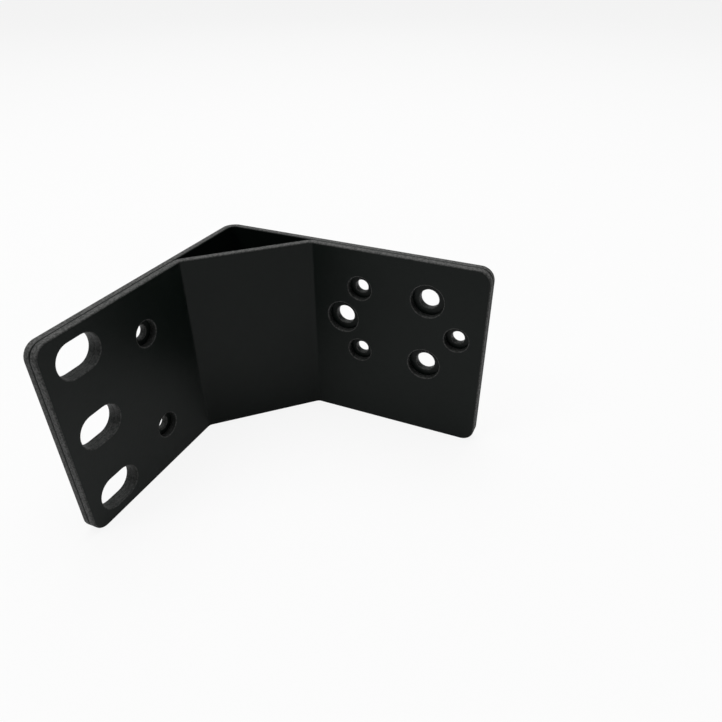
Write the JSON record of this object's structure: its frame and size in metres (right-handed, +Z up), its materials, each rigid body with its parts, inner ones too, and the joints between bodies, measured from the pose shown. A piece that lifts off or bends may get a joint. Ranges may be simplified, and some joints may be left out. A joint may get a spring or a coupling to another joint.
{
  "type": "rack mount ear bracket",
  "caption": "Rack ear bracket: an L-shaped folded steel plate with a diagonal brace plate across its corner, rack slots, stepped screw holes and pressed darts, powder coated.",
  "frame": {"origin": "below the middle of the bracket's box, on the surface that its lower edges stand on", "axes": "+X along the rack ear to its free end, +Y along the chassis leg to its free end, +Z up; the ear's front faces -Y and the leg's outer face is -X"},
  "size_m": [0.0616, 0.064, 0.0435],
  "materials": {
    "powder_coat": "black fine-texture powder coat on steel sheet, with a soft sheen"
  },
  "bodies": {
    "root": {"angle_plate": "powder_coat", "brace_plate": "powder_coat"}
  },
  "joints": []
}
